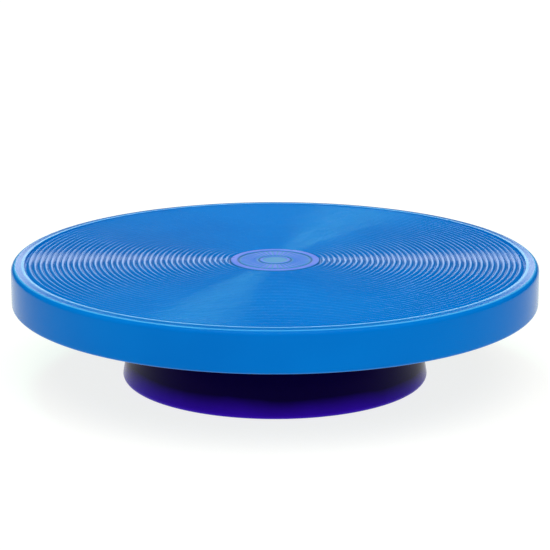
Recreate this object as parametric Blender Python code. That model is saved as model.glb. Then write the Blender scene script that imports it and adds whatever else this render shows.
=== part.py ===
"""A round balance platform: a ribbed deck on a ball pivot, cushioned and turning in a flat-footed base.

Metres, +Z up. The origin is on the floor, on the object's upright axis.
"""

import math

import bmesh
import bpy

# Overall sizes
DECK_RADIUS = 0.200
TOTAL_HEIGHT = 0.092
DECK_DEPTH = 0.0317
BASE_RADIUS = 0.1164
BASE_TOP = 0.036
BASE_DRAFT = math.radians(7.0)

# Clearances
GAP = 0.0003  # between pieces that touch
RUNNING_GAP = 0.001  # round a turning flange or washer
BALL_GAP = 0.0005  # between spherical faces
SCREW_GAP = 0.0003  # round a screw in its hole

# Deck
DECK_WALL = 0.004
DECK_TOP_WALL = 0.0045
DECK_SHOULDER = 0.004
DECK_LIP = 0.003
DECK_INNER_FILLET = 0.003
RIM_BAND = 0.0105
GROOVE_WIDTH = 0.0016
GROOVE_DEPTH = 0.0014
FIELD_DROP = 0.0008  # ribbed field below the rim band
DECK_RIBS = 12
DECK_RIB_THICKNESS = 0.0026
DECK_RIB_CLEARANCE = 0.013  # from the skirt's lower edge up to the ribs
DECK_RIB_SLOPE = 0.030
DECK_HUB_WALL = 0.005

# Centre badge
BADGE_RADIUS = 0.034
BADGE_THICKNESS = 0.0012
BADGE_BEVEL = 0.0004

# Ball pivot
BALL_RADIUS = 0.014
NECK_RADIUS = 0.0075
LINER_WALL = 0.0026
SOCKET_WALL = 0.0085
SOCKET_CROWN = 0.012
SOCKET_FLANGE = 0.004
LINER_OPENING = math.radians(47)  # half angle of the mouth below
CLAMP_OPENING = math.radians(50)
CLAMP_FLANGE = 0.004
CLAMP_COLLAR_WALL = 0.0055
CLAMP_SCREWS = 6
CLAMP_SCREW_EDGE = 0.005  # from the screw circle to the ring's edge
BOSS_BITE = 0.0015  # how deep a boss stands in the hub's wall
CLAMP_SCREW_GRIP = 0.014
STUD_FLANGE = 0.003
STUD_FLANGE_RADIUS = 0.017
STUD_FLANGE_DEPTH = 0.0207  # flange's top below the ball's centre, clear of the tilted clamp ring

# Spindle bearing
SPINDLE_RADIUS = 0.008
BUSH_WALL = 0.0024
WASHER_THICKNESS = 0.002
WASHER_RADIUS = 0.0175
WASHER_POCKET_DEPTH = 0.0022
HOUSING_WALL = 0.0035
HOUSING_BOTTOM = 0.0087
HOUSING_FLANGE = 0.003
NUT_POCKET_DEPTH = 0.0083
NUT_HEIGHT = 0.005
NUT_ACROSS_FLATS = 0.022
RETAINER_RADIUS = 0.0145
HUB_WALL = 0.012
HOUSING_SCREWS = 4
HOUSING_SCREW_LENGTH = 0.015

# Turntable and cushion ring
TABLE_THICKNESS = 0.003
TABLE_FLOOR = 0.0025
TABLE_RIM = 0.002
TABLE_RIM_DROP = 0.002  # rim below the base's top face
GLIDE_THICKNESS = 0.002
GLIDE_INSET = 0.002
CUSHION_WIDTH = 0.018
CUSHION_WAIST = 0.003  # how far its sides draw in
CUSHION_SIDE_GAP = 0.0025
CUSHION_TO_CLAMP = 0.004
WELL_DEPTH = 0.018
WELL_FLOOR = 0.003

# Base
SHELL_LIFT = 0.001  # shell's lower edge above the floor
BASE_WALL = 0.003
BASE_TOP_WALL = 0.004
BASE_SHOULDER = 0.005
BASE_FOOT_ROUND = 0.0032
BASE_RIBS = 6
BASE_RIB_THICKNESS = 0.0024
PLATE_THICKNESS = 0.003
PLATE_SCREWS = 6
PLATE_SCREW_INSET = 0.013
PLATE_SCREW_LENGTH = 0.012
BOSS_RADIUS = 0.005
FEET = 6
FOOT_RADIUS = 0.011
FOOT_HEIGHT = 0.0025
FOOT_INSET = 0.024

# Screws
SCREW_RADIUS = 0.0016
SCREW_HEAD_RADIUS = 0.0032
SCREW_HEAD_HEIGHT = 0.0022
SCREW_SOCKET_RADIUS = 0.0015
SCREW_SOCKET_DEPTH = 0.0012

# Facets
DECK_TURN = 64
BASE_TURN = 56
MIDDLE_TURN = 40
SMALL_TURN = 28
FOOT_TURN = 20
SCREW_TURN = 10
OVERLAP = 0.001  # how far joined shapes run into each other

# Heights worked out from the sizes above
DECK_UNDERSIDE = TOTAL_HEIGHT - DECK_TOP_WALL
DECK_LOWER_EDGE = TOTAL_HEIGHT - DECK_DEPTH
FIELD_TOP = TOTAL_HEIGHT - FIELD_DROP
LINER_INNER = BALL_RADIUS + BALL_GAP
LINER_OUTER = LINER_INNER + LINER_WALL
SOCKET_INNER = LINER_OUTER + BALL_GAP
SOCKET_OUTER = SOCKET_INNER + SOCKET_WALL
PIVOT_HEIGHT = DECK_UNDERSIDE - GAP - SOCKET_CROWN - SOCKET_INNER
SOCKET_BOTTOM = PIVOT_HEIGHT + GAP / 2
SOCKET_SHELF = SOCKET_BOTTOM + SOCKET_FLANGE
CLAMP_TOP = PIVOT_HEIGHT - GAP / 2
CLAMP_UNDER = CLAMP_TOP - CLAMP_FLANGE
CLAMP_SCREW_CIRCLE = SOCKET_OUTER + GAP + DECK_HUB_WALL - BOSS_BITE + BOSS_RADIUS
CLAMP_RADIUS = CLAMP_SCREW_CIRCLE + CLAMP_SCREW_EDGE
CUSHION_INNER = CLAMP_RADIUS + CUSHION_TO_CLAMP
CUSHION_OUTER = CUSHION_INNER + CUSHION_WIDTH
SOCKET_FLANGE_RADIUS = CUSHION_OUTER + 0.002

STUD_FLANGE_TOP = PIVOT_HEIGHT - STUD_FLANGE_DEPTH
STUD_FLANGE_BOTTOM = STUD_FLANGE_TOP - STUD_FLANGE
TABLE_TOP = STUD_FLANGE_BOTTOM - GAP
TABLE_UNDERSIDE = TABLE_TOP - TABLE_THICKNESS
WASHER_BOTTOM = TABLE_UNDERSIDE - GAP - WASHER_THICKNESS
WASHER_POCKET = WASHER_BOTTOM - GAP
HOUSING_TOP = WASHER_POCKET + WASHER_POCKET_DEPTH
WASHER_POCKET_RADIUS = WASHER_RADIUS + RUNNING_GAP
HOUSING_RADIUS = WASHER_POCKET_RADIUS + HOUSING_WALL
NUT_POCKET_TOP = HOUSING_BOTTOM + NUT_POCKET_DEPTH
NUT_CORNER = NUT_ACROSS_FLATS / math.sqrt(3)
NUT_POCKET_RADIUS = max(NUT_CORNER, RETAINER_RADIUS) + RUNNING_GAP
RETAINER_BOTTOM = NUT_POCKET_TOP - GAP - WASHER_THICKNESS
NUT_BOTTOM = RETAINER_BOTTOM - GAP - NUT_HEIGHT
BUSH_OUTER = SPINDLE_RADIUS + GAP + BUSH_WALL
HUB_INNER = HOUSING_RADIUS + GAP
HUB_OUTER = HUB_INNER + HUB_WALL
HUB_BOTTOM = HOUSING_BOTTOM + HOUSING_FLANGE + GAP
HOUSING_SCREW_CIRCLE = HUB_INNER + HUB_WALL / 2

TABLE_SEAT_INNER = CUSHION_INNER - CUSHION_SIDE_GAP
TABLE_SEAT_OUTER = CUSHION_OUTER + CUSHION_SIDE_GAP
TABLE_RADIUS = TABLE_SEAT_OUTER + TABLE_RIM
WELL_RADIUS = TABLE_RADIUS + RUNNING_GAP
WELL_BOTTOM = BASE_TOP - WELL_DEPTH
TABLE_FLOOR_BOTTOM = WELL_BOTTOM + GAP + GLIDE_THICKNESS + GAP
CUSHION_BOTTOM = TABLE_FLOOR_BOTTOM + TABLE_FLOOR + GAP
CUSHION_TOP = SOCKET_BOTTOM - GAP

PLATE_BOTTOM = FOOT_HEIGHT + GAP
PLATE_TOP = PLATE_BOTTOM + PLATE_THICKNESS
BOSS_BOTTOM = PLATE_TOP + GAP
BASE_UNDERSIDE = BASE_TOP - BASE_TOP_WALL
WELL_UNDERSIDE = WELL_BOTTOM - WELL_FLOOR


def base_wall_radius(height):
    """Radius of the base's outer wall, which narrows upwards with the draft."""
    return BASE_RADIUS - (height - SHELL_LIFT) * math.tan(BASE_DRAFT)


PLATE_RADIUS = base_wall_radius(PLATE_TOP) - BASE_WALL - GAP
PLATE_SCREW_CIRCLE = PLATE_RADIUS - PLATE_SCREW_INSET
FOOT_CIRCLE = BASE_RADIUS - FOOT_INSET


def arc(centre_r, centre_z, radius, start, end, steps):
    """Points (r, z) along an arc, with its angles in degrees from +r towards +z."""
    angles = [math.radians(start + (end - start) * i / steps) for i in range(steps + 1)]
    return [(centre_r + radius * math.cos(a), centre_z + radius * math.sin(a)) for a in angles]


def material(name, colour, roughness, metallic=0.0):
    made = bpy.data.materials.new(name)
    made.use_nodes = True
    shader = made.node_tree.nodes["Principled BSDF"]
    shader.inputs["Base Color"].default_value = (*colour, 1.0)
    shader.inputs["Roughness"].default_value = roughness
    shader.inputs["Metallic"].default_value = metallic
    return made


def empty(name, height, parent=None):
    """A pivot: an empty on the upright axis, at a height above the floor."""
    made = bpy.data.objects.new(name, None)
    bpy.context.scene.collection.objects.link(made)
    if parent:
        made.parent = parent
        height -= parent.matrix_world.translation.z
    made.location = (0, 0, height)
    bpy.context.view_layer.update()
    return made


def add(name, mesh, surface, pivot):
    """An object whose mesh is held in the pivot's own frame."""
    made = bpy.data.objects.new(name, mesh)
    bpy.context.scene.collection.objects.link(made)
    made.parent = pivot
    if surface and not mesh.materials:
        mesh.materials.append(surface)
    return made


def finished(bm, name):
    """The mesh of a bmesh, with its doubles merged, its faces pointing out and smooth shading."""
    bmesh.ops.remove_doubles(bm, verts=bm.verts, dist=1e-7)
    bmesh.ops.recalc_face_normals(bm, faces=bm.faces)
    mesh = bpy.data.meshes.new(name)
    bm.to_mesh(mesh)
    bm.free()
    mesh.shade_smooth()
    mesh.set_sharp_from_angle(angle=math.radians(30))
    return mesh


def turned(name, outline, steps, base=0.0):
    """A shape turned round the upright axis. The outline's points are (radius, height above the floor).

    An outline that starts and ends on the axis makes a solid; any other is a closed loop. The mesh's
    heights are counted from base, the height of the pivot that holds it.
    """
    bm = bmesh.new()
    verts = [bm.verts.new((r, 0, z - base)) for r, z in outline]
    edges = [bm.edges.new(pair) for pair in zip(verts, verts[1:])]
    if outline[0][0] > 0 or outline[-1][0] > 0:
        edges.append(bm.edges.new((verts[-1], verts[0])))
    bmesh.ops.spin(
        bm, geom=verts + edges, cent=(0, 0, 0), axis=(0, 0, 1), angle=math.tau, steps=steps, use_merge=True
    )
    return finished(bm, name)


def around(count, circle, start=0.0):
    """Places evenly spread on a circle, as (angle, x, y)."""
    angles = [math.radians(start) + math.tau * i / count for i in range(count)]
    return [(a, circle * math.cos(a), circle * math.sin(a)) for a in angles]


def pegs(name, places, radius, bottom, top, base, steps=SCREW_TURN):
    """Upright cylinders at each of the places, as one helper mesh."""
    bm = bmesh.new()
    for _, x, y in places:
        ring = bmesh.ops.create_circle(bm, cap_ends=True, radius=radius, segments=steps)["verts"]
        bmesh.ops.translate(bm, verts=ring, vec=(x, y, bottom - base))
        lift = bmesh.ops.extrude_face_region(bm, geom=list(ring[0].link_faces))
        moved = [item for item in lift["geom"] if isinstance(item, bmesh.types.BMVert)]
        bmesh.ops.translate(bm, verts=moved, vec=(0, 0, top - bottom))
    return finished(bm, name)


def fins(name, count, outline, thickness, base, start=0.0):
    """Radial ribs: an outline of (radius, height) points given a thickness, repeated round the axis."""
    bm = bmesh.new()
    for _, across_x, across_y in around(count, 1.0, start):
        side = (-across_y * thickness / 2, across_x * thickness / 2)
        corners = [
            bm.verts.new((r * across_x - side[0], r * across_y - side[1], z - base)) for r, z in outline
        ]
        lift = bmesh.ops.extrude_face_region(bm, geom=[bm.faces.new(corners)])
        moved = [item for item in lift["geom"] if isinstance(item, bmesh.types.BMVert)]
        bmesh.ops.translate(bm, verts=moved, vec=(2 * side[0], 2 * side[1], 0))
    return finished(bm, name)


def combine(target, mesh, operation):
    """Joins a helper mesh to a piece, or cuts it out."""
    helper = add("helper_" + mesh.name, mesh, None, target.parent)
    helper.hide_render = True
    helper.display_type = "WIRE"
    step = target.modifiers.new(mesh.name, "BOOLEAN")
    step.operation = operation
    step.object = helper
    step.solver = "EXACT"


def screw_mesh(name, length):
    """A screw seen from its own origin under the head, with the shank pointing up."""
    under = -SCREW_HEAD_HEIGHT
    outline = [(0, under + SCREW_SOCKET_DEPTH), (SCREW_SOCKET_RADIUS, under + SCREW_SOCKET_DEPTH)]
    outline += [(SCREW_SOCKET_RADIUS, under), (SCREW_HEAD_RADIUS, under), (SCREW_HEAD_RADIUS, 0)]
    outline += [(SCREW_RADIUS, 0), (SCREW_RADIUS, length - SCREW_RADIUS), (0, length)]
    return turned(name, outline, SCREW_TURN)


def screws(name, places, seat, length, surface, pivot):
    """Numbered screws, each its own object, with their heads under the height of the seat."""
    mesh = screw_mesh(name, length)
    for number, (_, x, y) in enumerate(places, 1):
        made = add(f"{name}_{number}", mesh, surface, pivot)
        made.location = (x, y, seat - GAP - pivot.matrix_world.translation.z)


# The deck, with the badge recess, the rim band and groove, the skirt and the hub pocket


def deck_outline():
    recess = BADGE_RADIUS + GAP
    floor = FIELD_TOP - BADGE_THICKNESS
    band = DECK_RADIUS - RIM_BAND
    groove = band - GROOVE_WIDTH
    inside = DECK_RADIUS - DECK_WALL
    shoulder = DECK_RADIUS - DECK_SHOULDER
    lip = DECK_RADIUS - DECK_LIP
    hub = SOCKET_OUTER + GAP
    hub_bottom = SOCKET_SHELF + GAP
    fillet = DECK_INNER_FILLET
    outline = [(0, floor), (recess, floor), (recess, FIELD_TOP), (groove, FIELD_TOP)]
    outline += [(groove + GROOVE_WIDTH / 4, TOTAL_HEIGHT - GROOVE_DEPTH)]
    outline += [(band - GROOVE_WIDTH / 4, TOTAL_HEIGHT - GROOVE_DEPTH), (band + 0.0006, TOTAL_HEIGHT)]
    outline += arc(shoulder, TOTAL_HEIGHT - DECK_SHOULDER, DECK_SHOULDER, 90, 0, 3)
    outline += arc(lip, DECK_LOWER_EDGE + DECK_LIP, DECK_LIP, 0, -90, 2)
    outline += [(inside, DECK_LOWER_EDGE)]
    outline += [(inside, DECK_UNDERSIDE - fillet), (inside - fillet, DECK_UNDERSIDE)]
    outline += [(hub + DECK_HUB_WALL, DECK_UNDERSIDE), (hub + DECK_HUB_WALL, hub_bottom)]
    outline += [(hub, hub_bottom), (hub, DECK_UNDERSIDE), (0, DECK_UNDERSIDE)]
    return outline


def deck_rib_outline():
    """A rib rests on the cup's flange near the hub, then rises to clear the base when the deck tilts."""
    start = SOCKET_OUTER + GAP + DECK_HUB_WALL / 2
    end = DECK_RADIUS - DECK_WALL + OVERLAP
    low = SOCKET_SHELF + GAP
    high = DECK_LOWER_EDGE + DECK_RIB_CLEARANCE
    top = DECK_UNDERSIDE + OVERLAP
    return [
        (start, low), (SOCKET_FLANGE_RADIUS, low), (SOCKET_FLANGE_RADIUS + DECK_RIB_SLOPE, high),
        (end, high), (end, top), (start, top),
    ]


def make_deck(blue, badge_blue, steel, pivot):
    base = pivot.matrix_world.translation.z
    deck = add("deck", turned("deck", deck_outline(), DECK_TURN, base), blue, pivot)
    half_step = 180 / DECK_RIBS
    combine(
        deck, fins("deck_ribs", DECK_RIBS, deck_rib_outline(), DECK_RIB_THICKNESS, base, half_step), "UNION"
    )
    places = around(CLAMP_SCREWS, CLAMP_SCREW_CIRCLE)
    low = SOCKET_SHELF + GAP
    bosses = pegs("deck_bosses", places, BOSS_RADIUS, low, DECK_UNDERSIDE + OVERLAP, base)
    combine(deck, bosses, "UNION")
    hole_top = CLAMP_UNDER + CLAMP_SCREW_GRIP + OVERLAP
    holes = pegs("deck_holes", places, SCREW_RADIUS + SCREW_GAP, low - OVERLAP, hole_top, base)
    combine(deck, holes, "DIFFERENCE")

    badge_bottom = FIELD_TOP - BADGE_THICKNESS + GAP
    badge_top = badge_bottom + BADGE_THICKNESS
    badge_outline = [
        (0, badge_bottom), (BADGE_RADIUS, badge_bottom), (BADGE_RADIUS, badge_top - BADGE_BEVEL)]
    badge_outline += [(BADGE_RADIUS - BADGE_BEVEL, badge_top), (0, badge_top)]
    add("centre_badge", turned("centre_badge", badge_outline, MIDDLE_TURN, base), badge_blue, pivot)
    screws("clamp_screw", places, CLAMP_UNDER, CLAMP_SCREW_GRIP, steel, pivot)


# The ball socket: the cup, the floating liner and the ring that closes it


def make_socket(alloy, nylon, pivot, liner_pivot):
    base = pivot.matrix_world.translation.z
    inner = SOCKET_INNER
    top = DECK_UNDERSIDE - GAP
    start = math.degrees(math.asin((SOCKET_BOTTOM - PIVOT_HEIGHT) / inner))
    outline = arc(0, PIVOT_HEIGHT, inner, 90, start, 7)
    outline[0] = (0, PIVOT_HEIGHT + inner)
    outline += [(SOCKET_FLANGE_RADIUS, SOCKET_BOTTOM), (SOCKET_FLANGE_RADIUS, SOCKET_SHELF)]
    outline += [(SOCKET_OUTER, SOCKET_SHELF), (SOCKET_OUTER, top), (0, top)]
    housing = add("socket_housing", turned("socket_housing", outline, MIDDLE_TURN, base), alloy, pivot)
    places = around(CLAMP_SCREWS, CLAMP_SCREW_CIRCLE)
    hole = SCREW_RADIUS + SCREW_GAP
    cut = pegs("socket_holes", places, hole, SOCKET_BOTTOM - OVERLAP, SOCKET_SHELF + OVERLAP, base)
    combine(housing, cut, "DIFFERENCE")

    mouth = -90 + math.degrees(CLAMP_OPENING)
    collar_end = PIVOT_HEIGHT + inner * math.sin(math.radians(mouth))
    outline = arc(0, PIVOT_HEIGHT, inner, -math.degrees(math.asin(GAP / 2 / inner)), mouth, 3)
    outline += [(inner + CLAMP_COLLAR_WALL, collar_end), (inner + CLAMP_COLLAR_WALL, CLAMP_UNDER)]
    outline += [(CLAMP_RADIUS, CLAMP_UNDER), (CLAMP_RADIUS, CLAMP_TOP)]
    ring = add("clamp_ring", turned("clamp_ring", outline, MIDDLE_TURN, base), alloy, pivot)
    cut = pegs("clamp_holes", places, hole, CLAMP_UNDER - OVERLAP, CLAMP_TOP + OVERLAP, base)
    combine(ring, cut, "DIFFERENCE")

    mouth = -90 + math.degrees(LINER_OPENING)
    outline = arc(0, PIVOT_HEIGHT, LINER_OUTER, mouth, 90, 10)
    outline[-1] = (0, PIVOT_HEIGHT + LINER_OUTER)
    inside = arc(0, PIVOT_HEIGHT, LINER_INNER, 90, mouth, 10)
    inside[0] = (0, PIVOT_HEIGHT + LINER_INNER)
    add("socket_liner", turned("socket_liner", inside + outline, SMALL_TURN, base), nylon, liner_pivot)


# The spindle with its ball, washers and nut


def make_spindle(steel, bronze, pivot):
    base = pivot.matrix_world.translation.z
    neck_angle = -90 + math.degrees(math.asin(NECK_RADIUS / BALL_RADIUS))
    outline = arc(0, PIVOT_HEIGHT, BALL_RADIUS, 90, neck_angle, 10)
    outline[0] = (0, PIVOT_HEIGHT + BALL_RADIUS)
    outline += [(NECK_RADIUS, STUD_FLANGE_TOP + 0.002), (NECK_RADIUS + 0.002, STUD_FLANGE_TOP)]
    outline += [(STUD_FLANGE_RADIUS, STUD_FLANGE_TOP), (STUD_FLANGE_RADIUS, STUD_FLANGE_BOTTOM)]
    outline += [(SPINDLE_RADIUS, STUD_FLANGE_BOTTOM), (SPINDLE_RADIUS, NUT_BOTTOM + 0.0005)]
    outline += [(SPINDLE_RADIUS - 0.001, NUT_BOTTOM - 0.0005), (0, NUT_BOTTOM - 0.0005)]
    add("ball_stud", turned("ball_stud", outline, SMALL_TURN, base), steel, pivot)

    bore = SPINDLE_RADIUS + GAP
    add("thrust_washer", washer("thrust_washer", bore, WASHER_RADIUS, WASHER_BOTTOM, base), bronze, pivot)
    add("retaining_washer", washer("retaining_washer", bore, RETAINER_RADIUS, RETAINER_BOTTOM, base),
        steel, pivot)
    nut = add("lock_nut", pegs("lock_nut", [(0, 0, 0)], NUT_CORNER, NUT_BOTTOM, NUT_BOTTOM + NUT_HEIGHT,
                               base, 6), steel, pivot)
    hole = pegs("nut_hole", [(0, 0, 0)], bore, NUT_BOTTOM - OVERLAP, RETAINER_BOTTOM, base, SMALL_TURN)
    combine(nut, hole, "DIFFERENCE")


def washer(name, inner, outer, bottom, base, thickness=WASHER_THICKNESS):
    outline = [(inner, bottom), (outer, bottom), (outer, bottom + thickness), (inner, bottom + thickness)]
    return turned(name, outline, SMALL_TURN, base)


# The base: the drum, its cover and feet, and the bearing housing


def shell_outline():
    top_radius = base_wall_radius(BASE_TOP)
    foot = BASE_FOOT_ROUND
    draft = math.degrees(BASE_DRAFT)
    well_wall = WELL_RADIUS + BASE_WALL
    outline = [(HUB_INNER, HOUSING_TOP), (HUB_INNER, HUB_BOTTOM), (HUB_OUTER, HUB_BOTTOM)]
    outline += [(HUB_OUTER, WELL_UNDERSIDE), (well_wall, WELL_UNDERSIDE), (well_wall, BASE_UNDERSIDE)]
    outline += [(base_wall_radius(BASE_UNDERSIDE) - BASE_WALL, BASE_UNDERSIDE)]
    outline += [(base_wall_radius(SHELL_LIFT) - BASE_WALL, SHELL_LIFT)]
    outline += arc(BASE_RADIUS - foot, SHELL_LIFT + foot, foot, -75, draft, 2)
    outline += arc(top_radius - BASE_SHOULDER, BASE_TOP - BASE_SHOULDER, BASE_SHOULDER, draft, 90, 3)
    outline += [(WELL_RADIUS, BASE_TOP), (WELL_RADIUS, WELL_BOTTOM)]
    outline += [(HUB_OUTER, WELL_BOTTOM), (HUB_OUTER, HOUSING_TOP)]
    return outline


def base_rib_outline():
    """A rib clears the sleeve's flange near the hub, drops to the cover, and runs up to the top wall."""
    inner = HUB_OUTER - OVERLAP
    clear = HUB_BOTTOM + OVERLAP
    step_out = HUB_OUTER + HOUSING_FLANGE
    wall = base_wall_radius(BOSS_BOTTOM) - BASE_WALL + OVERLAP
    wall_top = base_wall_radius(BASE_UNDERSIDE) - BASE_WALL + OVERLAP
    well_wall = WELL_RADIUS + BASE_WALL / 2
    return [
        (inner, clear), (step_out, clear), (step_out, BOSS_BOTTOM), (wall, BOSS_BOTTOM),
        (wall_top, BASE_UNDERSIDE + OVERLAP), (well_wall, BASE_UNDERSIDE + OVERLAP),
        (well_wall, WELL_UNDERSIDE + OVERLAP), (inner, WELL_UNDERSIDE + OVERLAP),
    ]


def make_base(violet, black, steel, pivot):
    shell = add("base_shell", turned("base_shell", shell_outline(), BASE_TURN), violet, pivot)
    places = around(PLATE_SCREWS, PLATE_SCREW_CIRCLE, 180 / PLATE_SCREWS)
    bosses = pegs("base_bosses", places, BOSS_RADIUS, BOSS_BOTTOM, BASE_UNDERSIDE + OVERLAP, 0)
    combine(shell, bosses, "UNION")
    combine(shell, fins("base_ribs", BASE_RIBS, base_rib_outline(), BASE_RIB_THICKNESS, 0), "UNION")
    hole = SCREW_RADIUS + SCREW_GAP
    hole_top = PLATE_BOTTOM + PLATE_SCREW_LENGTH + OVERLAP
    combine(shell, pegs("boss_holes", places, hole, 0, hole_top, 0), "DIFFERENCE")
    hub_places = around(HOUSING_SCREWS, HOUSING_SCREW_CIRCLE, 180 / HOUSING_SCREWS)
    hub_hole_top = HOUSING_BOTTOM + HOUSING_SCREW_LENGTH + OVERLAP
    combine(shell, pegs("hub_holes", hub_places, hole, 0, hub_hole_top, 0), "DIFFERENCE")

    # The cover's screws are sunk in counterbores, so that only the feet meet the floor.
    sunk = PLATE_BOTTOM + SCREW_HEAD_HEIGHT * 0.5
    outline = [(0, PLATE_BOTTOM), (PLATE_RADIUS, PLATE_BOTTOM), (PLATE_RADIUS, PLATE_TOP), (0, PLATE_TOP)]
    plate = add("base_plate", turned("base_plate", outline, BASE_TURN), black, pivot)
    combine(plate, pegs("plate_holes", places, hole, 0, PLATE_TOP + OVERLAP, 0), "DIFFERENCE")
    head = SCREW_HEAD_RADIUS + SCREW_GAP
    combine(plate, pegs("plate_sinks", places, head, 0, sunk, 0), "DIFFERENCE")
    screws("plate_screw", places, sunk, PLATE_SCREW_LENGTH, steel, pivot)
    screws("housing_screw", hub_places, HOUSING_BOTTOM, HOUSING_SCREW_LENGTH, steel, pivot)


def make_feet(rubber, pivot):
    outline = [(0, 0), (FOOT_RADIUS - 0.001, 0), (FOOT_RADIUS, 0.001), (FOOT_RADIUS, FOOT_HEIGHT)]
    outline += [(0, FOOT_HEIGHT)]
    mesh = turned("base_foot", outline, FOOT_TURN)
    for number, (_, x, y) in enumerate(around(FEET, FOOT_CIRCLE), 1):
        add(f"base_foot_{number}", mesh, rubber, pivot).location = (x, y, 0)


def make_bearing(alloy, bronze, nylon, pivot):
    outline = [(BUSH_OUTER + GAP, WASHER_POCKET), (BUSH_OUTER + GAP, NUT_POCKET_TOP)]
    outline += [(NUT_POCKET_RADIUS, NUT_POCKET_TOP), (NUT_POCKET_RADIUS, HOUSING_BOTTOM)]
    outline += [(HUB_OUTER, HOUSING_BOTTOM), (HUB_OUTER, HOUSING_BOTTOM + HOUSING_FLANGE)]
    outline += [(HOUSING_RADIUS, HOUSING_BOTTOM + HOUSING_FLANGE), (HOUSING_RADIUS, HOUSING_TOP)]
    outline += [(WASHER_POCKET_RADIUS, HOUSING_TOP), (WASHER_POCKET_RADIUS, WASHER_POCKET)]
    housing = add("bearing_housing", turned("bearing_housing", outline, MIDDLE_TURN), alloy, pivot)
    places = around(HOUSING_SCREWS, HOUSING_SCREW_CIRCLE, 180 / HOUSING_SCREWS)
    flange_top = HOUSING_BOTTOM + HOUSING_FLANGE
    cut = pegs("flange_holes", places, SCREW_RADIUS + SCREW_GAP, 0, flange_top + OVERLAP / 2, 0)
    combine(housing, cut, "DIFFERENCE")

    bore = SPINDLE_RADIUS + GAP
    bush_bottom = NUT_POCKET_TOP + GAP
    length = WASHER_POCKET - bush_bottom
    add("sleeve_bush", washer("sleeve_bush", bore, BUSH_OUTER, bush_bottom, 0, length), bronze, pivot)
    glide_inner = TABLE_SEAT_INNER + GLIDE_INSET
    glide_outer = TABLE_SEAT_OUTER - GLIDE_INSET
    glide = [(glide_inner, WELL_BOTTOM + GAP), (glide_outer, WELL_BOTTOM + GAP)]
    glide += [(glide_outer, WELL_BOTTOM + GAP + GLIDE_THICKNESS)]
    glide += [(glide_inner, WELL_BOTTOM + GAP + GLIDE_THICKNESS)]
    add("glide_ring", turned("glide_ring", glide, MIDDLE_TURN), nylon, pivot)


def make_cushion(alloy, foam, pivot):
    """The turntable is a dish that turns with the spindle, and the soft ring stands in it.

    The ring's sides draw in at the middle, so that it can fold when the deck presses on it.
    """
    base = pivot.matrix_world.translation.z
    bore = SPINDLE_RADIUS + GAP
    step = TABLE_SEAT_INNER - TABLE_THICKNESS
    floor_top = TABLE_FLOOR_BOTTOM + TABLE_FLOOR
    rim_top = BASE_TOP - TABLE_RIM_DROP
    outline = [(bore, TABLE_UNDERSIDE), (step, TABLE_UNDERSIDE), (step, TABLE_FLOOR_BOTTOM)]
    outline += [(TABLE_RADIUS, TABLE_FLOOR_BOTTOM), (TABLE_RADIUS, rim_top), (TABLE_SEAT_OUTER, rim_top)]
    outline += [(TABLE_SEAT_OUTER, floor_top), (TABLE_SEAT_INNER, floor_top)]
    outline += [(TABLE_SEAT_INNER, TABLE_TOP), (bore, TABLE_TOP)]
    add("turntable", turned("turntable", outline, MIDDLE_TURN, base), alloy, pivot)

    middle = (CUSHION_BOTTOM + CUSHION_TOP) / 2
    rise = (CUSHION_TOP - CUSHION_BOTTOM) / 4
    inner = CUSHION_INNER
    outer = CUSHION_OUTER
    outline = [(inner, CUSHION_TOP), (inner, middle + rise), (inner + CUSHION_WAIST, middle)]
    outline += [(inner, middle - rise), (inner, CUSHION_BOTTOM), (outer, CUSHION_BOTTOM)]
    outline += [(outer, middle - rise), (outer - CUSHION_WAIST, middle), (outer, middle + rise)]
    outline += [(outer, CUSHION_TOP)]
    add("cushion_ring", turned("cushion_ring", outline, MIDDLE_TURN, base), foam, pivot)


def main():
    for old in list(bpy.data.objects):
        bpy.data.objects.remove(old, do_unlink=True)
    blue = material("deck_blue", (0.004, 0.16, 0.62), 0.35)
    badge_blue = material("badge_blue", (0.10, 0.27, 0.72), 0.3)
    violet = material("base_violet", (0.02, 0.005, 0.14), 0.15)
    black = material("cover_black", (0.02, 0.02, 0.025), 0.5)
    rubber = material("foot_rubber", (0.015, 0.015, 0.015), 0.85)
    foam = material("cushion_rubber", (0.03, 0.03, 0.035), 0.8)
    steel = material("bright_steel", (0.56, 0.57, 0.58), 0.3, 1.0)
    alloy = material("cast_alloy", (0.6, 0.6, 0.62), 0.45, 1.0)
    bronze = material("bearing_bronze", (0.55, 0.35, 0.12), 0.4, 1.0)
    nylon = material("white_nylon", (0.8, 0.8, 0.76), 0.45)

    base_pivot = empty("base_origin", 0)
    turn_pivot = empty("turn_axis", STUD_FLANGE_BOTTOM, base_pivot)
    liner_pivot = empty("tilt_x_axis", PIVOT_HEIGHT, turn_pivot)
    deck_pivot = empty("tilt_y_axis", PIVOT_HEIGHT, liner_pivot)

    make_base(violet, black, steel, base_pivot)
    make_feet(rubber, base_pivot)
    make_bearing(alloy, bronze, nylon, base_pivot)
    make_spindle(steel, bronze, turn_pivot)
    make_cushion(alloy, foam, turn_pivot)
    make_socket(alloy, nylon, deck_pivot, liner_pivot)
    make_deck(blue, badge_blue, steel, deck_pivot)


main()
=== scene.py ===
"""A round balance platform: a ribbed blue deck on a cushioned ball pivot, turning in a violet foot drum."""

import math

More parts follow.
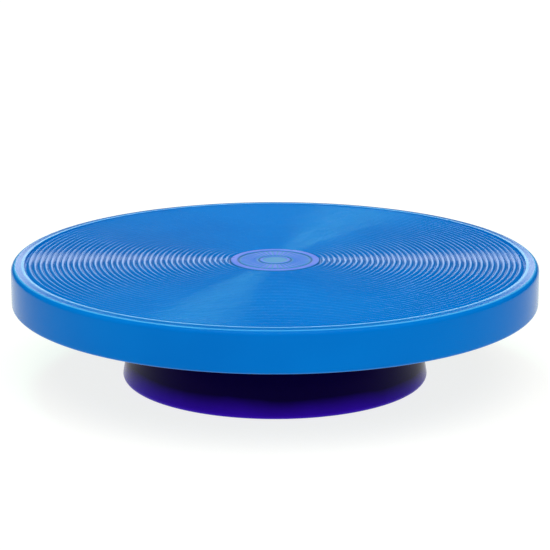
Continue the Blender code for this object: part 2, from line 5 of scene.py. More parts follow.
import bpy
import numpy as np
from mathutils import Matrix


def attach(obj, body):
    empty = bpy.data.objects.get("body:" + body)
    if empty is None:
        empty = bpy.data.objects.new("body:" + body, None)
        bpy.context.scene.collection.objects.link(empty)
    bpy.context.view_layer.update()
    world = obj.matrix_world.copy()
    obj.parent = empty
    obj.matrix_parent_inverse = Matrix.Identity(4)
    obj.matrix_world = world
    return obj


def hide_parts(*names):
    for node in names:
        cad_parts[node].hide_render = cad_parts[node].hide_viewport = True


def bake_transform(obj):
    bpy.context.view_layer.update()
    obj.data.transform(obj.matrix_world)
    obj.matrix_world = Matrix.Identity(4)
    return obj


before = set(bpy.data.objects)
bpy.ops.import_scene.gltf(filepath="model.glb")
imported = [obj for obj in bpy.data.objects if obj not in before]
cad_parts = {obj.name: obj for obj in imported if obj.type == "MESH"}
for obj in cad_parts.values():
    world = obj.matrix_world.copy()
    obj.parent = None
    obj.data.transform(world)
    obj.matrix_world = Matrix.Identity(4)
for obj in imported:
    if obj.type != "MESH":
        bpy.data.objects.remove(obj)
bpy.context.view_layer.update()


# Deck
# The platform is one injection moulding in blue polypropylene. Its tread of fine concentric ribs is
# turned into the mould, a smooth band runs round the rim, and the skirt rolls in at its lower edge.


def arc(centre_r, centre_z, radius, start, end, count):
    """Points (r, z) on a circle round (centre_r, centre_z), from one angle to another in degrees."""
    angles = np.radians(np.linspace(start, end, count))
    return np.stack([centre_r + radius * np.cos(angles), centre_z + radius * np.sin(angles)], -1)


def lathe(outline, steps, ring=False):
    """Point (r, z) of the profile at angle a lands on (r cos a, r sin a, z). An end on the axis is a pole.
    A ring is a closed profile that stays off the axis."""
    outline = np.asarray(outline, float)
    rows = len(outline)
    angles = np.arange(steps) * 2 * np.pi / steps
    radii = outline[:, :1]
    points = np.stack([radii * np.cos(angles), radii * np.sin(angles), outline[:, 1:] + 0 * angles], -1)
    return points.reshape(-1, 3), grid_faces(rows, steps, ring, np.flatnonzero(radii[:, 0] < 1e-7))


def grid_faces(rows, columns, ring=False, poles=()):
    """Quads between neighbouring rows of a grid whose columns close on themselves.
    A row that is a pole counts as one point, with triangles round it."""
    number = np.arange(rows * columns).reshape(rows, columns)
    number[list(poles)] = number[list(poles), :1]
    if ring:
        number = np.vstack([number, number[:1]])
    here = np.hstack([number, number[:, :1]])
    quads = np.stack([here[:-1, :-1], here[1:, :-1], here[1:, 1:], here[:-1, 1:]], -1).reshape(-1, 4)
    upper = quads[quads[:, 0] == quads[:, 3]][:, [0, 1, 2]]
    lower = quads[quads[:, 1] == quads[:, 2]][:, [0, 1, 3]]
    whole = quads[(quads[:, 0] != quads[:, 3]) & (quads[:, 1] != quads[:, 2])]
    return upper.tolist() + lower.tolist() + whole.tolist()


def moved(shape, x, y, z=0.0):
    """The shape in another place."""
    points, faces = shape
    return points + (x, y, z), faces


def joined(*shapes):
    """Several shapes as one list of points and one list of faces."""
    points, faces, count = [], [], 0
    for place, corners in shapes:
        points.append(place)
        faces += [[corner + count for corner in face] for face in corners]
        count += len(place)
    return np.vstack(points), faces


def piece(name, shape, finish, slot, body, *nodes, crease=35):
    """A finished surface. Points that no face uses are dropped; edges sharper than the crease stay crisp."""
    points, faces = shape
    used = np.unique(np.concatenate([np.ravel(face) for face in faces]))
    new_number = np.zeros(len(points), int)
    new_number[used] = np.arange(len(used))
    mesh = bpy.data.meshes.new(name)
    mesh.from_pydata(points[used].tolist(), [], [[int(new_number[c]) for c in face] for face in faces])
    mesh.shade_smooth()
    mesh.set_sharp_from_angle(angle=math.radians(crease))
    mesh.materials.append(finish)
    made = bpy.data.objects.new(name, mesh)
    bpy.context.scene.collection.objects.link(made)
    if body:
        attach(made, body)
    if nodes:
        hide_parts(*nodes)
    return made


def web(radii, low, high, thickness, edge, angle, lean=0.0):
    """A moulded rib along a radius: its section is a tall U with a round lower edge, from high down to low.
    Its outer end leans in by a slope as it rises."""
    half = thickness / 2
    round_edge = np.radians(np.linspace(180, 360, 7))
    across = np.concatenate([[-half * 1.25], half * np.cos(round_edge), [half * 1.25]])
    down = np.concatenate([[0.0], edge + edge * np.sin(round_edge), [0.0]])
    heights = low[:, None] + down
    heights[:, 0] = high
    heights[:, -1] = high
    c, s = math.cos(angle), math.sin(angle)
    along = radii[:, None] - lean * (heights - heights.min()) * radii[:, None] / radii[-1]
    points = np.stack([along * c - across * s, along * s + across * c, heights], -1)
    rows, columns = heights.shape
    faces = [face[::-1] for face in grid_faces(rows, columns)]
    faces.append(list(range(columns))[::-1])
    faces.append(list(range((rows - 1) * columns, rows * columns)))
    return points.reshape(-1, 3), faces


def wired(name):
    """A new material with its shader and a reader of Object coordinates."""
    made = bpy.data.materials.new(name)
    made.use_nodes = True
    tree = made.node_tree
    shader = tree.nodes["Principled BSDF"]
    place = tree.nodes.new("ShaderNodeTexCoord").outputs["Object"]
    return made, tree, shader, place


def speckle(tree, place, scale, detail=3.0, rough=0.55):
    """Noise at a scale, in waves per metre."""
    noise = tree.nodes.new("ShaderNodeTexNoise")
    noise.inputs["Scale"].default_value = scale
    noise.inputs["Detail"].default_value = detail
    noise.inputs["Roughness"].default_value = rough
    tree.links.new(place, noise.inputs["Vector"])
    return noise.outputs["Fac"]


def spread(tree, value, low, high, to_low, to_high):
    """The value's span from low to high, carried on to another span and held at its ends."""
    span = tree.nodes.new("ShaderNodeMapRange")
    for socket, number in zip(("From Min", "From Max", "To Min", "To Max"), (low, high, to_low, to_high)):
        span.inputs[socket].default_value = number
    tree.links.new(value, span.inputs["Value"])
    return span.outputs["Result"]


def shade_between(tree, amount, first, second):
    """A colour between two, by an amount from 0 to 1. Either may be another node's colour."""
    mix = tree.nodes.new("ShaderNodeMix")
    mix.data_type = "RGBA"
    tree.links.new(amount, mix.inputs["Factor"])
    for socket, colour in ((mix.inputs[6], first), (mix.inputs[7], second)):
        if isinstance(colour, tuple):
            socket.default_value = (*colour, 1.0)
        else:
            tree.links.new(colour, socket)
    return mix.outputs[2]


def sums(tree, operation, first, second):
    """Arithmetic on two values, either of which may be a plain number."""
    node = tree.nodes.new("ShaderNodeMath")
    node.operation = operation
    for socket, value in zip(node.inputs, (first, second)):
        if isinstance(value, (int, float)):
            socket.default_value = value
        else:
            tree.links.new(value, socket)
    return node.outputs[0]


def relief(tree, shader, height, strength, depth):
    """Turns a height into a bump on the shader."""
    bump = tree.nodes.new("ShaderNodeBump")
    bump.inputs["Strength"].default_value = strength
    bump.inputs["Distance"].default_value = depth
    tree.links.new(height, bump.inputs["Height"])
    tree.links.new(bump.outputs["Normal"], shader.inputs["Normal"])


deck_top = 0.092
deck_under = 0.0875
skirt_r = 0.200
hub_low = 0.06205
tread_start = 0.0351
tread_end = 0.1879
tread_ribs = 37
rib_pitch = (tread_end - tread_start) / tread_ribs
rib_height = 0.0009

# A rib's profile is one minus a power of the distance from its middle: a round crest and a narrow valley.
across_rib = np.linspace(0, 1, 9)[:-1]
rib_rise = 1 - np.abs(2 * across_rib - 1) ** 1.6
tread_r = tread_start + rib_pitch * (np.arange(tread_ribs)[:, None] + across_rib)
tread_z = deck_top - 0.0001 - rib_height * (1 - rib_rise) + 0 * tread_r
band_r = np.array([0.1903, 0.1912, 0.1920, 0.1926, 0.1935, 0.1950, 0.1962])
band_z = deck_top - 0.0001 * np.clip((band_r - 0.1918) / 0.001, 0, None)
badge_seat = [(0, 0.0900), (0.0341, 0.0900), (0.0343, 0.0902), (0.0343, 0.0910), (0.0345, 0.0912)]
band_groove = [
    (tread_end, 0.0911), (0.1881, 0.09105), (0.1885, 0.0907), (0.1889, 0.0906), (0.1893, 0.0909),
    (0.1896, 0.0915), (0.1898, 0.0918), (0.1900, 0.09194)]
deck_outline = np.vstack([
    badge_seat,
    np.stack([tread_r.ravel(), tread_z.ravel()], -1),
    band_groove,
    np.stack([band_r, band_z], -1),
    arc(0.196, 0.0876, 0.004, 83, 0, 12),
    [(skirt_r, 0.080), (skirt_r, 0.072)],
    arc(0.197, 0.0633, 0.003, 0, -90, 9),
    [(0.1966, 0.0603), (0.1961, 0.0606), (0.1960, 0.0612), (0.1957, 0.0845)],
    arc(0.1927, 0.0845, 0.003, 0, 90, 6),
    [(0.12, deck_under), (0.0334, deck_under), (0.0320, 0.0870), (0.0315, 0.0858), (0.0314, 0.0624)],
    [(0.0311, hub_low), (0.0267, hub_low), (0.0264, 0.0624), (0.0264, deck_under), (0, deck_under)],
])

# Twelve webs stiffen the deck from hub to skirt. They and the screw bosses are rooted inside its top wall.
root = 0.0885
web_low_end = 0.0733
web_thickness, web_edge = 0.0026, 0.0009
web_r = np.concatenate([
    np.linspace(0.029, 0.0639, 8), np.linspace(0.0672, 0.0939, 9), np.linspace(0.1, 0.1968, 14)])
web_low = np.interp(web_r, [0.029, 0.0639, 0.0939, 0.1968], [hub_low, hub_low, web_low_end, web_low_end])
web_angles = np.radians(15 + 30 * np.arange(12))
deck_webs = [web(web_r, web_low, root, web_thickness, web_edge, angle) for angle in web_angles]
boss = lathe(
    [(0, root), (0.0051, root), (0.0050, 0.0626), (0.0045, hub_low), (0.0021, hub_low), (0.0019, 0.0623),
     (0.0019, 0.0684), (0, 0.0690)], 32)
boss_circle = 0.0349
boss_angles = np.radians(60 * np.arange(6))
deck_bosses = [moved(boss, boss_circle * math.cos(a), boss_circle * math.sin(a)) for a in boss_angles]

moulded_blue, tree, shader, place = wired("moulded_blue")
cloud = speckle(tree, place, 9.0, 2.0)
grain = speckle(tree, place, 1500.0, 2.0)
scuffs = speckle(tree, place, 160.0, 5.0, 0.7)
axes = tree.nodes.new("ShaderNodeSeparateXYZ")
tree.links.new(place, axes.inputs["Vector"])
crest = spread(tree, axes.outputs["Z"], deck_top - 0.00035, deck_top - 0.00008, 0.0, 1.0)
scuffed = sums(tree, "MULTIPLY", crest, spread(tree, scuffs, 0.5, 0.72, 0.0, 0.5))
squared = sums(tree, "ADD", sums(tree, "MULTIPLY", axes.outputs["X"], axes.outputs["X"]),
               sums(tree, "MULTIPLY", axes.outputs["Y"], axes.outputs["Y"]))
radius = sums(tree, "SQRT", squared, 0)

# Painted highlight: the rim band's two edges are painted paler. Painted shade: the valleys between the ribs
# are painted a little darker.
inner_edge = sums(tree, "MULTIPLY", spread(tree, radius, 0.1898, 0.1904, 0.0, 1.0),
                  spread(tree, radius, 0.1914, 0.1926, 1.0, 0.0))
outer_edge = sums(tree, "MULTIPLY", spread(tree, radius, 0.1963, 0.1968, 0.0, 1.0),
                  spread(tree, radius, 0.1975, 0.1981, 1.0, 0.0))
rim_highlight = sums(tree, "MULTIPLY", sums(tree, "MAXIMUM", inner_edge, outer_edge),
              spread(tree, axes.outputs["Z"], 0.0885, 0.0900, 0.0, 1.0))
rim_highlight = sums(tree, "MULTIPLY", rim_highlight, spread(tree, cloud, 0.3, 0.7, 0.35, 0.75))
drift = spread(tree, cloud, 0.35, 0.65, 0.0, 1.0)
body_blue = shade_between(tree, drift, (0.0, 0.156, 0.58), (0.0, 0.178, 0.63))
# Painted highlight: the rim band's edges are mixed towards a pale blue.
highlighted_blue = shade_between(tree, rim_highlight, body_blue, (0.10, 0.52, 0.95))
# Painted shade: the rib valleys are mixed towards a dark blue.
valley_depth = spread(tree, axes.outputs["Z"], deck_top - 0.0010, deck_top - 0.0006, 0.4, 0.0)
valley = sums(tree, "MULTIPLY", valley_depth, spread(tree, axes.outputs["Z"], 0.0900, 0.0905, 0.0, 1.0))
valley = sums(tree, "MULTIPLY", valley, spread(tree, radius, tread_end, tread_end + 0.0004, 1.0, 0.0))
shaded = shade_between(tree, valley, highlighted_blue, (0.0, 0.05, 0.26))
tree.links.new(shade_between(tree, scuffed, shaded, (0.03, 0.27, 0.72)), shader.inputs["Base Color"])
tree.links.new(
    sums(tree, "ADD", spread(tree, cloud, 0.3, 0.7, 0.12, 0.17), sums(tree, "MULTIPLY", scuffed, 0.12)),
    shader.inputs["Roughness"])
shader.inputs["Specular IOR Level"].default_value = 0.06
shader.inputs["Specular Tint"].default_value = (0.3, 0.7, 1.0, 1.0)
relief(tree, shader, grain, 0.12, 0.0002)

piece("deck_moulding", lathe(deck_outline, 256), moulded_blue, "deck_blue", "platform", "deck")
piece("deck_underside_webs", joined(*deck_webs, *deck_bosses), moulded_blue, "deck_blue", "platform", "deck")


# Centre badge
# A round inlay pressed into the middle of the deck. It is moulded in a paler blue, with a raised ring,
# a wreath of short flutes and a plain flat centre.


def plateau(start, end, slope):
    """One between two radii and nought outside them, with a straight slope at each side."""
    return np.clip((badge_r - start) / slope, 0, 1) * np.clip((end - badge_r) / slope, 0, 1)


badge_edge = 0.0340
badge_face = 0.0915
badge_back = 0.0903
flute_count = 36
badge_r = np.concatenate([
    np.linspace(0, 0.0086, 5), np.linspace(0.0090, 0.0334, 66), [0.0337, 0.0339, badge_edge]])
badge_steps = 288
badge_angle = np.arange(badge_steps) * 2 * np.pi / badge_steps
rings = 0.00026 * plateau(0.0286, 0.0336, 0.0003) + 0.00022 * plateau(0.0093, 0.0115, 0.0004)
grooves = 0.00030 * plateau(0.0268, 0.0286, 0.0004) + 0.00030 * plateau(0.0115, 0.0131, 0.0004)
flutes = (0.5 + 0.5 * np.cos(flute_count * badge_angle)) ** 0.7
wreath = 0.00028 * plateau(0.0134, 0.0266, 0.0012)
badge_z = badge_face + (rings - grooves)[:, None] + wreath[:, None] * flutes
badge_z[-2:] -= np.array([[0.0002], [0.0005]])

# Two rows more, at the edge and in the middle of its back, close the inlay below.
inlay_r = np.append(badge_r, [badge_edge, 0.0])[:, None]
inlay_z = np.vstack([badge_z, np.full((2, badge_steps), badge_back)])
inlay_points = np.stack([inlay_r * np.cos(badge_angle), inlay_r * np.sin(badge_angle), inlay_z], -1)
inlay_faces = grid_faces(len(inlay_r), badge_steps, False, [0, len(inlay_r) - 1])
badge_shape = inlay_points.reshape(-1, 3), inlay_faces

badge_blue, tree, shader, place = wired("badge_blue")
axes = tree.nodes.new("ShaderNodeSeparateXYZ")
tree.links.new(place, axes.inputs["Vector"])
raised = spread(tree, axes.outputs["Z"], 0.09152, 0.0917, 0.0, 1.0)
# Painted shade: the badge's sunk grooves are darkened in colour.
painted_groove_shade = spread(tree, axes.outputs["Z"], 0.09125, 0.09145, 1.0, 0.0)
cloud = speckle(tree, place, 60.0, 3.0)
drift = spread(tree, cloud, 0.3, 0.7, 0.0, 1.0)
ground = shade_between(tree, drift, (0.020, 0.22, 0.55), (0.030, 0.27, 0.60))
inlay = shade_between(tree, raised, ground, (0.09, 0.17, 0.78))
tree.links.new(shade_between(tree, painted_groove_shade, inlay, (0.0, 0.09, 0.36)), shader.inputs["Base Color"])
tree.links.new(spread(tree, cloud, 0.3, 0.7, 0.26, 0.36), shader.inputs["Roughness"])
shader.inputs["Specular IOR Level"].default_value = 0.06
shader.inputs["Specular Tint"].default_value = (0.3, 0.6, 1.0, 1.0)
relief(tree, shader, speckle(tree, place, 1800.0, 2.0), 0.08, 0.0002)
piece("badge_inlay", badge_shape, badge_blue, "badge_blue", "platform", "centre_badge", crease=50)


# Foot drum
# The base is moulded in a glossy violet plastic. Its wall leans in as it rises, its foot is rolled
# under, and a round well in its top holds the turntable.


drum_foot_r = 0.1164
drum_foot_z = 0.001
drum_lean = math.tan(math.radians(7))


def wall_radius(height):
    """Radius of the drum's outer wall: its foot's radius, less the lean times the height above the foot."""
    return drum_foot_r - (height - drum_foot_z) * drum_lean


drum_outline = np.vstack([
    [(0.0223, 0.0298), (0.0227, 0.0302), (0.0339, 0.0302), (0.0343, 0.0298), (0.0343, 0.0184)],
    [(0.0347, 0.0180), (0.0668, 0.0180), (0.0674, 0.0186), (0.0674, 0.0352)],
    arc(0.0682, 0.0352, 0.0008, 180, 90, 5),
    [(0.080, 0.0360), (0.095, 0.0360)],
    arc(wall_radius(0.036) - 0.005, 0.031, 0.005, 90, 7, 12),
    [(wall_radius(0.022), 0.022), (wall_radius(0.013), 0.013)],
    arc(drum_foot_r - 0.0032, 0.0042, 0.0032, 7, -80, 10),
    [(0.1134, drum_foot_z), (0.1130, 0.0014), (wall_radius(0.032) - 0.003, 0.031)],
    [(wall_radius(0.032) - 0.004, 0.032), (0.0704, 0.032), (0.0704, 0.0155), (0.0699, 0.0150)],
    [(0.0343, 0.0150), (0.0343, 0.0124), (0.0339, 0.0120), (0.0227, 0.0120), (0.0223, 0.0124)],
])

# Six webs run under the well and out to the wall. Near the hub they clear the sleeve's flange.
drum_web_r = np.concatenate([
    np.linspace(0.0340, 0.0372, 4), np.linspace(0.0374, 0.0698, 10), np.linspace(0.0700, 0.1135, 12)])
drum_web_low = np.where(drum_web_r < 0.0373, 0.0130, 0.0061)
drum_web_high = np.where(drum_web_r < 0.0699, 0.0160, 0.0330)
drum_webs = [
    web(drum_web_r, drum_web_low, drum_web_high, 0.0024, 0.0007, math.radians(60 * k), drum_lean)
    for k in range(6)]
cover_circle = 0.0997
drum_boss = lathe(
    [(0, 0.0325), (0.0052, 0.0325), (0.0050, 0.0066), (0.0046, 0.0061), (0.0021, 0.0061), (0.0019, 0.0064),
     (0.0019, 0.0158), (0, 0.0165)], 32)
cover_angles = np.radians(30 + 60 * np.arange(6))
drum_bosses = [
    moved(drum_boss, cover_circle * math.cos(a), cover_circle * math.sin(a)) for a in cover_angles]

gloss_violet, tree, shader, place = wired("gloss_violet")
cloud = speckle(tree, place, 14.0, 3.0)
axes = tree.nodes.new("ShaderNodeSeparateXYZ")
tree.links.new(place, axes.inputs["Vector"])
# Painted light and shade: the drum is bright violet at its foot, as if lit by the floor, and near black
# higher up, as if shaded by the deck.
painted_foot_light = spread(tree, sums(tree, "ADD", axes.outputs["Z"], spread(tree, cloud, 0.3, 0.7, -0.002, 0.002)),
              0.003, 0.016, 0.0, 1.0)
tree.links.new(
    shade_between(tree, painted_foot_light, (0.040, 0.004, 0.46), (0.003, 0.0005, 0.036)), shader.inputs["Base Color"])
haze = speckle(tree, place, 90.0, 4.0)
tree.links.new(spread(tree, haze, 0.3, 0.75, 0.14, 0.24), shader.inputs["Roughness"])
shader.inputs["Specular IOR Level"].default_value = 0.07
shader.inputs["Specular Tint"].default_value = (0.35, 0.2, 1.0, 1.0)
relief(tree, shader, speckle(tree, place, 45.0, 2.0), 0.05, 0.0006)
drum = lathe(drum_outline, 224, ring=True)
underside = joined(*drum_webs, *drum_bosses)
piece("drum_moulding", drum, gloss_violet, "base_violet", "base", "base_shell")
piece("drum_underside_webs", underside, gloss_violet, "base_violet", "base", "base_shell")


# Base cover
# A flat black plate closes the drum from below. It is moulded in grained polypropylene.


def mottled(tree, shader, noise, low, high, first, second):
    """The shader's colour goes from the first to the second as the noise goes from low to high."""
    drift = spread(tree, noise, low, high, 0.0, 1.0)
    tree.links.new(shade_between(tree, drift, first, second), shader.inputs["Base Color"])


grained_black, tree, shader, place = wired("grained_black")
cloud = speckle(tree, place, 30.0, 3.0)
mottled(tree, shader, cloud, 0.3, 0.7, (0.008, 0.008, 0.010), (0.016, 0.016, 0.019))
tree.links.new(spread(tree, cloud, 0.3, 0.7, 0.45, 0.6), shader.inputs["Roughness"])
shader.inputs["Specular IOR Level"].default_value = 0.4
pits = tree.nodes.new("ShaderNodeTexVoronoi")
pits.inputs["Scale"].default_value = 900.0
tree.links.new(place, pits.inputs["Vector"])
relief(tree, shader, pits.outputs["Distance"], 0.3, 0.0003)
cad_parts["base_plate"].data.materials.clear()
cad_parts["base_plate"].data.materials.append(grained_black)


# Feet
# Six round pads of soft black rubber are glued to the cover. Rings in their soles grip the floor.

foot_circle = 0.0924
sole_edge = 0.0098
groove_pitch = 0.0022
sole_r = np.linspace(sole_edge, 0.0012, 44)
sole_z = np.where(np.cos((sole_r - sole_edge) * 2 * np.pi / groove_pitch) > -0.35, 0.0, 0.0004)
foot_outline = np.vstack([
    [(0, 0.0025), (0.0104, 0.0025), (0.0110, 0.0021), (0.0110, 0.0010)],
    arc(0.0100, 0.0010, 0.0010, 0, -90, 6),
    np.stack([sole_r, sole_z], -1),
    [(0, 0)],
])
grip_rubber, tree, shader, place = wired("grip_rubber")
dust = speckle(tree, place, 400.0, 5.0, 0.7)
mottled(tree, shader, dust, 0.35, 0.75, (0.010, 0.010, 0.011), (0.035, 0.035, 0.037))
tree.links.new(spread(tree, dust, 0.3, 0.7, 0.7, 0.9), shader.inputs["Roughness"])
shader.inputs["Specular IOR Level"].default_value = 0.3
relief(tree, shader, dust, 0.25, 0.0003)
foot = lathe(foot_outline, 64)
for number in range(6):
    turn = math.radians(60 * number)
    spot = moved(foot, foot_circle * math.cos(turn), foot_circle * math.sin(turn))
    piece(f"grip_foot_{number + 1}", spot, grip_rubber, "foot_rubber", "base", f"base_foot_{number + 1}")


# Screws
# Thread-forming screws with flat round heads and hexagon sockets, in zinc-plated steel. Six hold the
# cover, four hold the sleeve, and six hold the socket and its ring to the deck.

screw_steps = 24
screw_angle = np.arange(screw_steps) * 2 * np.pi / screw_steps
hexagon = 0.0013 / np.cos((screw_angle + np.pi / 6) % (np.pi / 3) - np.pi / 6)
plain = np.ones(screw_steps)
core_r, head_r, head_height = 0.0012, 0.0032, 0.0022


def screw(length):
    """Rings of points from the tip to the socket. The thread's crest climbs one pitch for each turn."""
    pitch = 0.0009
    climb = np.arange(0.0006, length - head_height, pitch / 6)
    phase = (climb[:, None] / pitch - screw_angle / (2 * np.pi)) % 1
    thread_r = core_r + 0.0004 * np.clip(1.6 - 3.2 * np.abs(phase - 0.5), 0, 1)
    radii = np.vstack([
        0 * plain, 0.0005 * plain, 0.0011 * plain, thread_r[::-1], core_r * plain, 0.0031 * plain,
        head_r * plain, head_r * plain, 0.0031 * plain, 0.0028 * plain, hexagon, hexagon, 0 * plain])
    heights = np.concatenate([
        [length, length - 0.0004, length - 0.0016], climb[::-1],
        [0, 0, -0.0001, -0.0018, -0.0021, -head_height, -head_height, -0.0010, -0.0010]])
    levels = heights[:, None] + 0 * plain
    points = np.stack([radii * np.cos(screw_angle), radii * np.sin(screw_angle), levels], -1)
    rows = len(heights)
    return points.reshape(-1, 3), grid_faces(rows, screw_steps, False, [0, rows - 1])


zinc_steel, tree, shader, place = wired("zinc_steel")
bloom = speckle(tree, place, 700.0, 4.0)
mottled(tree, shader, bloom, 0.3, 0.7, (0.52, 0.53, 0.55), (0.68, 0.69, 0.70))
tree.links.new(spread(tree, bloom, 0.3, 0.7, 0.24, 0.42), shader.inputs["Roughness"])
shader.inputs["Metallic"].default_value = 1.0
for family, body, circle, start, count, seat, length in (
    ("plate_screw", "base", cover_circle, 30, 6, 0.0036, 0.012),
    ("housing_screw", "base", 0.0283, 45, 4, 0.0084, 0.015),
    ("clamp_screw", "platform", boss_circle, 0, 6, 0.05315, 0.014),
):
    thread = screw(length)
    for number in range(count):
        turn = math.radians(start + number * 360 / count)
        spot = moved(thread, circle * math.cos(turn), circle * math.sin(turn), seat)
        part_name = f"{family}_{number + 1}"
        piece(f"{family}_body_{number + 1}", spot, zinc_steel, "bright_steel", body, part_name)


# Cushion ring
# A soft ring of closed-cell rubber foam stands on the turntable and carries the cup's flange. It is
# moulded with a drawn-in waist, gives way when the deck tilts and levels it again. It is made as a
# lower and an upper half that meet at the waist; here neither half is attached to a moving body.

ring_low, ring_high = 0.0234, 0.05745
ring_middle = (ring_low + ring_high) / 2
ring_inner, ring_outer = 0.0439, 0.0619
ring_corner = 0.0018
waist_depth = 0.003


def drawn_in(height):
    """How far the sides draw in: a squared sine from one end of the ring to the other."""
    return waist_depth * np.sin(np.pi * (height - ring_low) / (ring_high - ring_low)) ** 2


side_up = np.linspace(ring_low + ring_corner, ring_middle, 12)
side_r = ring_outer - drawn_in(side_up)
inner_r = ring_inner + drawn_in(side_up)
corner = np.radians(np.linspace(0, 90, 6))
corner_in = ring_corner * (1 - np.cos(corner))
corner_z = side_up[0] - ring_corner * np.sin(corner)
lower_half = np.vstack([
    np.stack([np.linspace(inner_r[-1], side_r[-1], 8), np.full(8, ring_middle)], -1),
    np.stack([side_r, side_up], -1)[::-1][1:],
    np.stack([side_r[0] - corner_in, corner_z], -1)[1:],
    np.stack([inner_r[0] + corner_in, corner_z], -1)[::-1],
    np.stack([inner_r, side_up], -1)[1:-1],
])
upper_half = lower_half[::-1] * (1, -1) + (0, 2 * ring_middle)

foam_rubber, tree, shader, place = wired("foam_rubber")
cells = tree.nodes.new("ShaderNodeTexVoronoi")
cells.inputs["Scale"].default_value = 700.0
tree.links.new(place, cells.inputs["Vector"])
dust = speckle(tree, place, 120.0, 4.0)
mottled(tree, shader, dust, 0.3, 0.7, (0.020, 0.020, 0.022), (0.040, 0.040, 0.043))
tree.links.new(spread(tree, dust, 0.3, 0.7, 0.8, 0.95), shader.inputs["Roughness"])
shader.inputs["Specular IOR Level"].default_value = 0.2
relief(tree, shader, cells.outputs["Distance"], 0.5, 0.0005)
lower_shape, upper_shape = lathe(lower_half, 120, ring=True), lathe(upper_half, 120, ring=True)
lower_ring = piece("cushion_ring_lower", lower_shape, foam_rubber, "cushion_rubber", None, "cushion_ring")
upper_ring = piece("cushion_ring_upper", upper_shape, foam_rubber, "cushion_rubber", None, "cushion_ring")
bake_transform(lower_ring)
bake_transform(upper_ring)


# Pivot and bearing
# The hidden mechanism keeps its machined shapes: cast alloy cups and discs, a turned steel stud and
# washers, a bronze bush and thrust washer, and nylon liner and glide ring.


def dress(finish, *names):
    """Gives a finish to pieces that keep their own shape."""
    for name in names:
        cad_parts[name].data.materials.clear()
        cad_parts[name].data.materials.append(finish)


def metal(name, dark, light, scale, low, high, dents):
    """A bare metal: its colour and gloss wander with fine noise, which also dents it."""
    made, tree, shader, place = wired(name)
    bloom = speckle(tree, place, scale, 5.0, 0.65)
    mottled(tree, shader, bloom, 0.3, 0.7, dark, light)
    tree.links.new(spread(tree, bloom, 0.3, 0.7, low, high), shader.inputs["Roughness"])
    shader.inputs["Metallic"].default_value = 1.0
    relief(tree, shader, bloom, dents, 0.0004)
    return made


dress(metal("cast_alloy_grey", (0.42, 0.43, 0.45), (0.58, 0.59, 0.60), 600.0, 0.40, 0.60, 0.25),
      "socket_housing", "clamp_ring", "turntable", "bearing_housing")
dress(metal("turned_steel", (0.50, 0.50, 0.52), (0.66, 0.66, 0.67), 300.0, 0.18, 0.30, 0.05),
      "ball_stud", "retaining_washer", "lock_nut")
dress(metal("bearing_bronze", (0.50, 0.30, 0.13), (0.66, 0.42, 0.19), 400.0, 0.30, 0.45, 0.10),
      "sleeve_bush", "thrust_washer")
white_nylon, tree, shader, place = wired("white_nylon")
haze = speckle(tree, place, 80.0, 3.0)
mottled(tree, shader, haze, 0.3, 0.7, (0.70, 0.69, 0.64), (0.80, 0.79, 0.75))
tree.links.new(spread(tree, haze, 0.3, 0.7, 0.40, 0.52), shader.inputs["Roughness"])
relief(tree, shader, haze, 0.05, 0.0004)
dress(white_nylon, "socket_liner", "glide_ring")


# Studio
# A plain pale floor that glows faintly, a broad soft key light from the front and above, a weak lamp
# behind for the sheen on the tread, and a dim room with one bright window at the back.

floor_finish, tree, shader, place = wired("studio_floor")
mottled(tree, shader, speckle(tree, place, 3.0, 3.0), 0.3, 0.7, (0.25, 0.25, 0.25), (0.27, 0.27, 0.27))
shader.inputs["Roughness"].default_value = 0.9
shader.inputs["Specular IOR Level"].default_value = 0.0
shader.inputs["Emission Color"].default_value = (1.0, 1.0, 0.95, 1.0)
shader.inputs["Emission Strength"].default_value = 0.82

# The floor is seen from above only, so that a view from below shows the underside of the object.
clear = tree.nodes.new("ShaderNodeBsdfTransparent")
one_sided = tree.nodes.new("ShaderNodeMixShader")
tree.links.new(tree.nodes.new("ShaderNodeNewGeometry").outputs["Backfacing"], one_sided.inputs["Fac"])
tree.links.new(shader.outputs["BSDF"], one_sided.inputs[1])
tree.links.new(clear.outputs["BSDF"], one_sided.inputs[2])
tree.links.new(one_sided.outputs["Shader"], tree.nodes["Material Output"].inputs["Surface"])
floor_mesh = bpy.data.meshes.new("studio_floor")
floor_half = 9
floor_corners = [(x * floor_half, y * floor_half, 0) for x, y in ((-1, -1), (1, -1), (1, 1), (-1, 1))]
floor_mesh.from_pydata(floor_corners, [], [(0, 1, 2, 3)])
floor_mesh.materials.append(floor_finish)
floor = bpy.data.objects.new("studio_floor", floor_mesh)
bpy.context.scene.collection.objects.link(floor)


def lamp(name, towards, strength, spread_angle, colour):
    """A distant soft lamp: the direction it stands in, its strength, its width in degrees, its colour."""
    light = bpy.data.lights.new(name, "SUN")
    light.energy = strength
    light.color = colour
    light.angle = math.radians(spread_angle)
    made = bpy.data.objects.new(name, light)
    tilt = math.atan2(math.hypot(towards[0], towards[1]), towards[2])
    made.rotation_euler = (tilt, 0, math.atan2(towards[0], -towards[1]))
    bpy.context.scene.collection.objects.link(made)


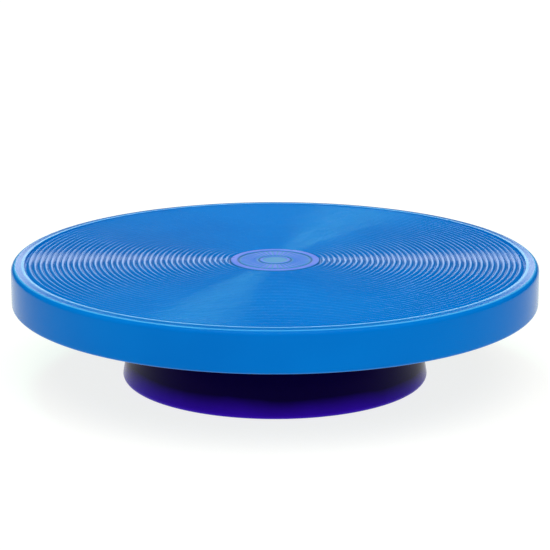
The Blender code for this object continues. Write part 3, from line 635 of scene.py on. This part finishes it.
lamp("key", (0.05, -0.38, 0.90), 2.2, 60, (1.0, 1.0, 1.0))
lamp("sheen", (-0.22, 0.40, 0.89), 1.25, 16, (0.28, 0.80, 0.50))

# The room's light by direction. In front it is dark low down and brighter above. Behind, a window is
# bright between two heights and two slopes to either side. The backdrop itself is plain white.
window_light = 3.5
world = bpy.data.worlds.new("studio")
bpy.context.scene.world = world
world.use_nodes = True
tree = world.node_tree
sky = tree.nodes["Background"]
direction = tree.nodes.new("ShaderNodeTexCoord").outputs["Generated"]
axes = tree.nodes.new("ShaderNodeSeparateXYZ")
tree.links.new(direction, axes.inputs["Vector"])
lifting = spread(tree, axes.outputs["Z"], 0.15, 0.35, 0.0, 1.0)
overhead = spread(tree, axes.outputs["Z"], 0.60, 0.85, 0.0, 1.0)
front = shade_between(tree, overhead, shade_between(tree, lifting, (0.02,) * 3, (0.5,) * 3), (0.30,) * 3)
sideways = sums(tree, "ABSOLUTE", sums(tree, "DIVIDE", axes.outputs["X"], axes.outputs["Y"]), 0)
across_window = spread(tree, sideways, 0.17, 0.25, 1.0, 0.0)
up_window = sums(tree, "MULTIPLY", spread(tree, axes.outputs["Z"], 0.17, 0.20, 0.0, 1.0),
                 spread(tree, axes.outputs["Z"], 0.29, 0.32, 1.0, 0.0))
window = sums(tree, "MULTIPLY", across_window, up_window)
back = shade_between(tree, window, (0.03,) * 3, (window_light,) * 3)
backward = spread(tree, axes.outputs["Y"], -0.2, 0.3, 0.0, 1.0)
ray = tree.nodes.new("ShaderNodeLightPath").outputs["Is Camera Ray"]
room = shade_between(tree, backward, front, back)
tree.links.new(shade_between(tree, ray, room, (1.0, 1.0, 1.0)), sky.inputs["Color"])

camera = bpy.data.cameras.new("camera")
camera.lens = 164.4
camera.sensor_width = 36
camera_object = bpy.data.objects.new("camera", camera)
camera_object.location = (0, -1.851, 0.560)
camera_object.rotation_euler = (math.radians(90 - 14.55), 0, 0)
bpy.context.scene.collection.objects.link(camera_object)
bpy.context.scene.camera = camera_object
bpy.context.scene.view_settings.view_transform = "Standard"
